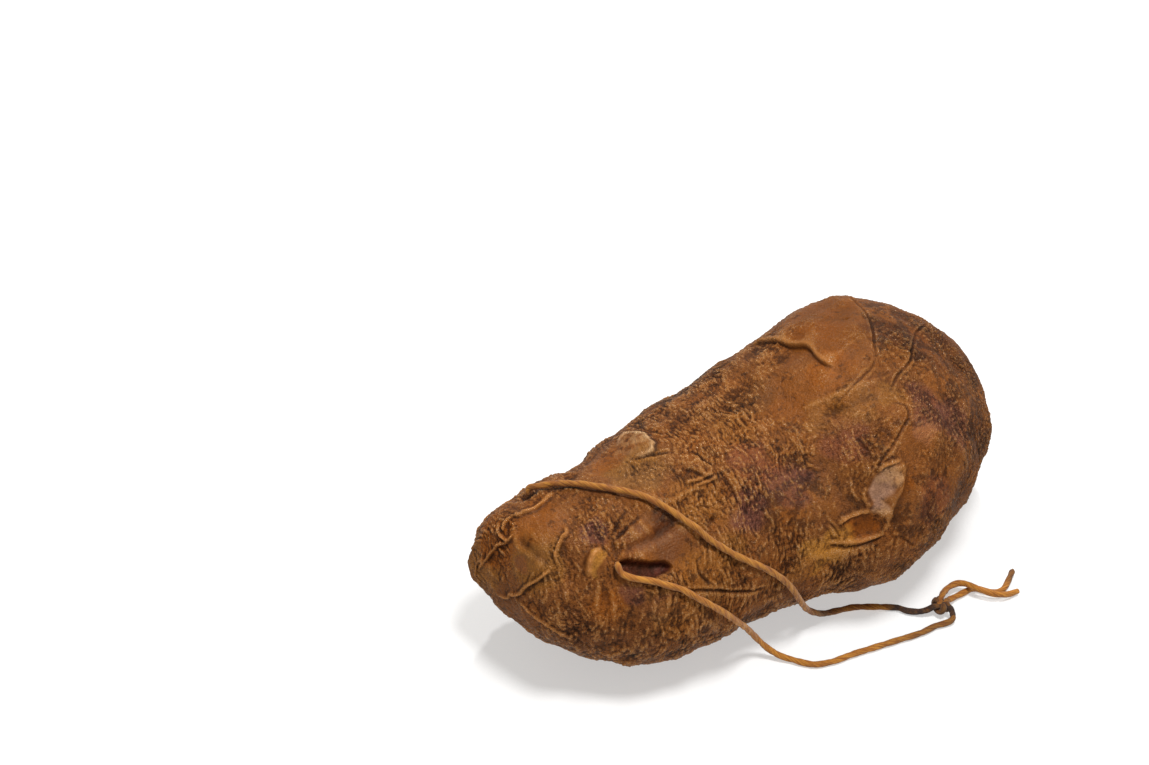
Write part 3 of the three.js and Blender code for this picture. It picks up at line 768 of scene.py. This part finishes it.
def make_mesh(name, points, faces, material, values):
    """An object of points in mm, with named values at its points."""
    mesh = bpy.data.meshes.new(name)
    mesh.from_pydata((points * MM).tolist(), [], faces)
    mesh.polygons.foreach_set("use_smooth", [True] * len(mesh.polygons))
    for key, value in values.items():
        value = np.asarray(value, np.float32)
        kind, field = VALUE_KINDS[value.size // len(value)]
        mesh.attributes.new(key, kind, "POINT").data.foreach_set(field, value.ravel())
    mesh.materials.append(material)
    piece = bpy.data.objects.new(name, mesh)
    bpy.context.scene.collection.objects.link(piece)
    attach(piece, "root")
    return piece


def tube_faces(rings, sides):
    """Quads between rings of a tube, and a fan over each end whose middle comes after the rings."""
    first, last = rings * sides, rings * sides + 1
    faces = []
    for i in range(rings - 1):
        for k in range(sides):
            a, b = i * sides + k, i * sides + (k + 1) % sides
            faces.append((a, b, b + sides, a + sides))
    for k in range(sides):
        after = (k + 1) % sides
        faces.append((first, after, k))
        faces.append((last, (rings - 1) * sides + k, (rings - 1) * sides + after))
    return faces


def frames_along(line):
    """Directions along a line, and two across it that turn as little as they can."""
    ahead = unit(np.gradient(line, axis=0))
    side = np.zeros_like(ahead)
    start = np.cross(ahead[0], (0.0, 0.0, 1.0))
    side[0] = unit(start if np.linalg.norm(start) > 0.1 else np.cross(ahead[0], (0.0, 1.0, 0.0)))
    for i in range(1, len(line)):
        side[i] = unit(side[i - 1] - (side[i - 1] @ ahead[i]) * ahead[i])
    return ahead, side, np.cross(ahead, side)


def twine_shape(route, seed, blunt=(0.5, 0.5)):
    """Points, faces and values of one twisted twine. Blunt is how thick each end is."""
    line = evenly(smooth_line(route, 12), TWINE_STEP)
    ahead, side, up = frames_along(line)
    rings = len(line)
    s = np.arange(rings)[:, None] * TWINE_STEP
    turn = np.linspace(0, 2 * np.pi, TWINE_SIDES, endpoint=False)[None, :]
    wind = turn - 2 * np.pi * s / PITCH
    ply = np.abs(np.cos(wind * PLIES / 2)) ** 0.7
    cells = np.stack(np.broadcast_arrays(s / 3.1, 1.5 * np.cos(wind), 1.5 * np.sin(wind)), -1)
    rough = noise(cells.reshape(-1, 3), seed).reshape(rings, TWINE_SIDES)
    uneven = 1 + 0.05 * noise(np.hstack([s / 7, 0 * s, 0 * s]), seed + 1)[:, None]
    radius = TWINE_DIAMETER / 2 * (CORE + PLY_RISE * ply + ROUGHNESS * rough) * uneven
    ends = np.minimum(s, s[-1] - s)
    radius = radius * (1 - bell(ends, 0.7) * np.where(s < s[-1] / 2, 1 - blunt[0], 1 - blunt[1]))
    points = (line[:, None, :] + radius[..., None] * (np.cos(turn)[..., None] * side[:, None, :]
                                                      + np.sin(turn)[..., None] * up[:, None, :]))
    points = np.vstack([points.reshape(-1, 3), line[0] - 0.2 * ahead[0], line[-1] + 0.2 * ahead[-1]])
    lay = np.stack(np.broadcast_arrays(wind * 2.4, s / 5.0, radius * 2.0), -1).reshape(-1, 3)
    values = {
        "ply": np.append(ply.ravel(), [0.2, 0.2]),
        "run": np.append(np.broadcast_to(s / s[-1], ply.shape).ravel(), [0, 1]),
        "lay": np.vstack([lay, lay[0], lay[-1]]),
    }
    return points, tube_faces(rings, TWINE_SIDES), values, line


def make_twine(name, route, seed, material, stain, blunt=(0.5, 0.5)):
    points, faces, values, line = twine_shape(route, seed, blunt)
    points[:, 2] = np.maximum(points[:, 2], FLOOR_GAP)
    values["stain"] = stain(values.pop("run"))
    piece = make_mesh(name, points, faces, material, values)
    return piece, line


def declare_twine(node):
    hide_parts(node)


# Casing

def even_stations():
    """Values of t that lie evenly along the body's top, closer than even steps of t in its middle."""
    t = np.linspace(0, 1, 4001)
    run = run_along(body_point(t, 0 * t + np.pi / 2))
    return np.interp(np.linspace(0, run[-1], STATIONS + 1), run, t)


def blurred(grid, reach):
    """The grid with each value taken over its neighbours, wrapped round the body."""
    padded = np.pad(np.pad(grid, ((reach, reach), (0, 0)), "edge"), ((0, 0), (reach, reach)), "wrap")
    width = 2 * reach + 1
    for axis in (0, 1):
        total = np.cumsum(padded, axis=axis)
        kept = total.shape[axis] - width + 1
        ahead = np.take(total, range(width - 1, total.shape[axis]), axis=axis)
        behind = np.take(total, range(kept), axis=axis)
        padded = (ahead - behind + np.take(padded, range(kept), axis=axis)) / width
    return padded


class Casing:
    """The skin's points while its relief is built up, and the values that its material reads."""

    def __init__(self):
        t = even_stations()[1:-1]
        turn = 2 * np.pi * np.arange(COLUMNS) / COLUMNS
        around = turn + FAVOURED - CROWDING * np.sin(turn)
        grid_t, grid_around = np.meshgrid(t, around, indexing="ij")
        self.t = np.concatenate([[0], grid_t.ravel(), [1]])
        self.around = np.concatenate([[0], grid_around.ravel(), [0]])
        self.body = body_point(self.t, self.around)
        self.normal = body_normal(self.t, self.around)
        self.shift = np.zeros((len(self.t), 3))
        self.height, self.crest, self.groove, self.smooth = np.zeros((4, len(self.t)))
        self.scrap, self.rim, self.slit = np.zeros((3, len(self.t)))

    def near(self, line, reach):
        return near_line(self.body, self.normal, line, reach)

    def add_waves(self):
        for lengths, height, phase in WAVES:
            turn = self.body @ (1 / np.array(lengths, float))
            self.height += height * np.sin(2 * np.pi * turn + phase)

    def add_swellings(self):
        for place, radius, rise in SWELLINGS:
            distance = np.linalg.norm(self.body - place_point(place), axis=1)
            self.height += rise * bell(distance, radius)

    def add_fold(self, through, rise, width, lean=0.0):
        near = self.near(line_over(through), 4 * width)
        fade = fade_at_ends(near.along)
        self.height[near.chosen] += rise * bell(near.distance, width) * fade
        self.shift[near.chosen] += near.across * (lean * bell(near.distance, width) * fade)[:, None]
        if lean:
            # The fold's crest gets a painted highlight and the side it leans over a painted shadow.
            self.crest[near.chosen] += FOLD_MARK * bell(near.distance, 0.55 * width) * fade
            self.groove[near.chosen] += FOLD_MARK * bell(near.signed - 1.4 * width, 0.5 * width) * fade

    def add_crease(self, through, depth, width):
        near = self.near(line_over(through), 5 * width)
        fade = fade_at_ends(near.along)
        shoulder = 0.2 * bell(near.distance - 2 * width, width)
        mark = CREASE_MARK if width < WIDE_CREASE else WIDE_CREASE_MARK
        self.height[near.chosen] += depth * (shoulder - bell(near.distance, width)) * fade
        # Painted shade along the crease.
        self.groove[near.chosen] += mark * bell(near.distance, 0.6 * width) * fade

    def add_lip(self, through, rise, width, fade, lean, mark):
        near = self.near(line_over(through), 2.5 * fade)
        ends = fade_at_ends(near.along)
        step = 0.5 + 0.5 * np.tanh(near.signed / (width / 2))
        tipped = lean * bell(near.signed - 0.5 * width, 1.5 * width) * ends
        self.height[near.chosen] += rise * step * bell(np.maximum(near.signed, 0), fade) * ends
        self.shift[near.chosen] -= near.across * tipped[:, None]
        # Painted highlight on the doubled edge of the step and painted shadow below it.
        self.crest[near.chosen] += LIP_CREST * mark * bell(near.signed - width, 0.8 * width) * ends
        self.groove[near.chosen] += mark * bell(near.signed + width, 0.8 * width) * ends

    def add_scrap(self, outline, rise, curl, lift):
        """A patch of the skin that stands up inside a closed outline, with a curled edge."""
        line = onto_body(smooth_line(place_point(outline), 6))
        near = self.near(line, 9)
        here = self.body[near.chosen]
        signed = near.signed + 0.6 * pattern("ragged", here)
        lifted = smoothstep(here[:, 0] - line[:, 0].min(), *lift)
        inside = smoothstep(signed, -0.3, 0.9)
        blotched = np.clip(0.5 + 1.9 * pattern("blotched", here), 0, 1)
        frayed = np.clip(0.8 + 0.8 * pattern("frayed", here), 0, 1)
        self.height[near.chosen] += lifted * (rise * inside + curl * bell(signed - 0.6, 0.5))
        self.scrap[near.chosen] = inside * (0.4 + 0.6 * lifted) * blotched
        # The curled edge gets a painted highlight, and the skin below it a painted shadow line.
        self.rim[near.chosen] = lifted * bell(signed - 0.7, 0.6) * frayed
        self.groove[near.chosen] += SCRAP_MARK * lifted * bell(signed + 0.6, 0.45)

    def add_slit(self, through, upper, lower, depth):
        near = self.near(line_over(through), 9)
        span = np.sqrt(np.maximum(np.sin(np.pi * near.along), 0))
        inside = np.minimum(near.signed - upper * np.minimum(span * 1.6, 1), lower * span - near.signed)
        self.height[near.chosen] -= depth * smoothstep(inside, -0.3, 1.3)
        self.slit[near.chosen] = smoothstep(inside, -0.1, 0.7)
        self.high *= 1 - self.slit
        self.low *= 1 - self.slit

    def add_smooth_areas(self):
        for place, reach, amount in SMOOTH_AREAS:
            self.smooth = np.maximum(self.smooth, amount * within(self.body, place, reach, SMOOTH_EDGE))

    def add_wrinkles(self):
        """Lumps of the dried casing with thin creases between them. They run round the body, and die
        out where the casing is smooth."""
        moved = strayed(self.body, *WRINKLE_STRAY)
        strokes = np.abs(pattern("strokes", moved))
        crinkle = np.abs(pattern("crinkle", moved))
        on_head = smoothstep(self.body[:, 0], *HEAD_CRINKLE)
        strokes = strokes * (1 - on_head) + HEAD_STROKES * crinkle * on_head
        patchy = np.clip(0.85 + 0.6 * pattern("patches", self.body), 0.35, 1.3)
        above_floor = 0.5 + 0.5 * smoothstep(self.body[:, 2], 0, FLOOR_FADE)
        self.wrinkle = np.clip(1 - self.smooth, 0, 1) * patchy * above_floor
        coarse = COARSE_HEIGHT * pattern("coarse", moved)
        lumps = LUMP_HEIGHT * pattern("lumps", self.body)
        relief = STROKE_HEIGHT * strokes + CRINKLE_HEIGHT * crinkle + coarse + lumps - WRINKLE_SINK
        self.height += self.wrinkle * relief + BROAD_HEIGHT * pattern("broad", self.body)

    def shade_relief(self):
        """Marks the crests and the hollows of the relief, for the painted light on the crests and the
        painted shade in the hollows.
        """
        grid = self.height[1:-1].reshape(-1, COLUMNS)
        fine = grid - blurred(grid, FINE_REACH)
        broad = blurred(grid, FINE_REACH) - blurred(grid, BROAD_REACH)
        both = np.concatenate([[0], (fine / FINE_UNIT + broad / BROAD_UNIT).ravel(), [0]])
        strength = PLAIN_SHADING + (1 - PLAIN_SHADING) * np.clip(self.wrinkle, 0, 1)
        strength = strength * (1 - HEAD_SHADING_LOSS * smoothstep(self.body[:, 0], *HEAD_CRINKLE))
        self.high = np.clip(both - CREST_FROM, 0, 1) * strength
        self.low = np.clip(-both - HOLLOW_FROM, 0, 1) * strength

    def points(self):
        points = self.body + self.normal * self.height[:, None] + self.shift
        points -= FOOTPRINT_MIDDLE
        points[:, 2] = np.maximum(points[:, 2], 0)
        return points


def clear_of_twine(points, normals, lines):
    """Presses the skin in where it would come through the twine that lies on it."""
    room = TWINE_DIAMETER / 2 + SKIN_GAP
    for line in lines:
        line = evenly(line, 1.0)
        low, high = line.min(axis=0) - TWINE_REACH, line.max(axis=0) + TWINE_REACH
        chosen = np.flatnonzero(((points > low) & (points < high)).all(axis=1))
        here = points[chosen]
        gap = np.full(len(chosen), np.inf)
        for spot in line:
            gap = np.minimum(gap, np.linalg.norm(here - spot, axis=1))
        press = np.maximum(room - gap, 0)
        points[chosen] -= normals[chosen] * press[:, None]
    return points


def casing_tint(casing):
    colour = np.tile(COLOURS["brown"], (len(casing.t), 1))
    wander = strayed(casing.body, *TINT_STRAY)
    for name, place, reach, strength in TINTS:
        amount = (strength * within(wander, place, reach, TINT_EDGE))[:, None]
        colour = colour * (1 - amount) + np.array(COLOURS[name]) * amount
    streaks = pattern("streaks", wander)[:, None]
    # The scrap's curled edge takes the colour of a painted highlight.
    for inside, name, contrast in ((casing.scrap, "scrap", 0.3), (casing.rim, "painted_glint", 0.2),
                                   (casing.slit, "meat", 0.6)):
        inside = inside[:, None]
        colour = colour * (1 - inside) + np.array(COLOURS[name]) * (1 + contrast * streaks) * inside
    return np.hstack([colour, np.ones((len(colour), 1))])


def casing_mottle(casing):
    mottle = np.full(len(casing.t), PLAIN_MOTTLE)
    for place, reach, amount in MOTTLES:
        weight = within(casing.body, place, reach, MOTTLE_EDGE)
        mottle = mottle * (1 - weight) + amount * weight
    return mottle * (1 - casing.slit) * (1 - casing.scrap)


def skin_normals(points):
    """Normals of the whole skin, so that its pieces meet without a seam."""
    grid = points[1:-1].reshape(-1, COLUMNS, 3)
    along = np.gradient(grid, axis=0)
    round_about = np.roll(grid, -1, axis=1) - np.roll(grid, 1, axis=1)
    normals = unit(np.cross(along, round_about)).reshape(-1, 3)
    return np.vstack([[-1, 0, 0], normals, [1, 0, 0]])


def skin_piece(first, last):
    """Points and faces of the skin from one station to another, closed over where it reaches an end."""
    count = STATIONS - 1
    chosen = list(range(1 + first * COLUMNS, 1 + (last + 1) * COLUMNS))
    ring = np.arange(COLUMNS)
    after = (ring + 1) % COLUMNS
    a = (np.arange(last - first)[:, None] * COLUMNS + ring).ravel()
    b = (np.arange(last - first)[:, None] * COLUMNS + after).ravel()
    faces = np.stack([a, a + COLUMNS, b + COLUMNS, b], axis=1).tolist()
    if first == 0:
        chosen.append(0)
        faces += [(len(chosen) - 1, int(j), int(k)) for j, k in zip(ring, after)]
    if last == count - 1:
        chosen.append(count * COLUMNS + 1)
        base = (last - first) * COLUMNS
        faces += [(len(chosen) - 1, int(base + k), int(base + j)) for j, k in zip(ring, after)]
    return np.array(chosen), faces


def make_casing(lines):
    casing = Casing()
    casing.add_waves()
    casing.add_swellings()
    for fold in FOLDS:
        casing.add_fold(*fold)
    for crease in CREASES:
        casing.add_crease(*crease)
    for lip in LIPS:
        casing.add_lip(**lip)
    casing.add_scrap(**SCRAP)
    casing.add_smooth_areas()
    casing.add_wrinkles()
    casing.shade_relief()
    casing.add_slit(**SLIT)
    points = clear_of_twine(casing.points(), casing.normal, lines)
    values = {
        "tint": casing_tint(casing),
        "crest": np.clip(casing.crest, 0, 1),
        "groove": np.clip(casing.groove, 0, 1),
        "mottle": casing_mottle(casing),
        "wrinkle": casing.wrinkle,
        "high": casing.high,
        "low": casing.low,
    }
    normals = skin_normals(points)
    material = make_casing_material()
    bounds = np.linspace(0, STATIONS - 2, len(PIECE_NAMES) + 1).round().astype(int)
    for name, first, last in zip(PIECE_NAMES, bounds, bounds[1:]):
        chosen, faces = skin_piece(first, last)
        here = {key: value[chosen] for key, value in values.items()}
        piece = make_mesh(name, points[chosen], faces, material, here)
        piece.data.normals_split_custom_set_from_vertices(normals[chosen].tolist())
        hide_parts("sausage")


# Knot

def make_knot(material):
    """Two turns of twine drawn tight round the band that joins the runs, with the tails coming out."""
    around = np.linspace(0, 2 * np.pi, 13)[:-1]
    routes = list(KNOT_ROUTES)
    for lean, out in KNOT_TURNS:
        ring = np.stack([out + 0.9 * lean * np.cos(around) + 0.15 * around,
                         TURN_HALF_WIDTH * np.sin(around), TURN_HALF_HEIGHT * np.cos(around)], axis=1)
        routes.append((KNOT_MIDDLE + ring, TURN_STAIN))
    all_points, all_faces, all_values = [], [], {"ply": [], "lay": [], "stain": []}
    count = 0
    for k, (route, stain) in enumerate(routes):
        points, faces, values, _ = twine_shape(route, 70 + k)
        values["stain"] = np.full(len(points), stain)
        all_points.append(points)
        all_faces += [tuple(v + count for v in face) for face in faces]
        for key, parts in all_values.items():
            parts.append(values[key])
        count += len(points)
    values = {key: np.concatenate(parts) for key, parts in all_values.items()}
    piece = make_mesh("knot_turns", np.vstack(all_points), all_faces, material, values)
    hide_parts("knot")
    return piece


# Stain of each piece of twine along its run

def back_stain(run):
    """Mottled where it reaches the floor, then golden again, and nearly black at the knot."""
    return 0.12 + 0.5 * bell(run - 0.79, 0.045) + 0.83 * smoothstep(run, 0.915, 0.935)


def front_stain(run):
    return 0.5 * smoothstep(run, 0.75, 0.95)


def no_stain(run):
    return 0 * run


def tail_stain(run):
    return 0.6 * smoothstep(run, 0.7, 0.9)


make_camera()
twine = make_twine_material()
front, front_line = make_twine("front_run", ROUTE_FRONT, 41, twine, front_stain)
back, back_line = make_twine("back_run", ROUTE_BACK, 43, twine, back_stain)
long_tail, long_line = make_twine("long_tail", ROUTE_TAIL_LONG, 45, twine, no_stain, (0.6, 0.9))
short_tail, short_line = make_twine("short_tail", ROUTE_TAIL_SHORT, 47, twine, tail_stain, (0.6, 0.4))
knot = make_knot(twine)
declare_twine("twine_front")
declare_twine("twine_back")
declare_twine("tail_long")
declare_twine("tail_short")
make_casing([front_line, back_line])
make_studio()
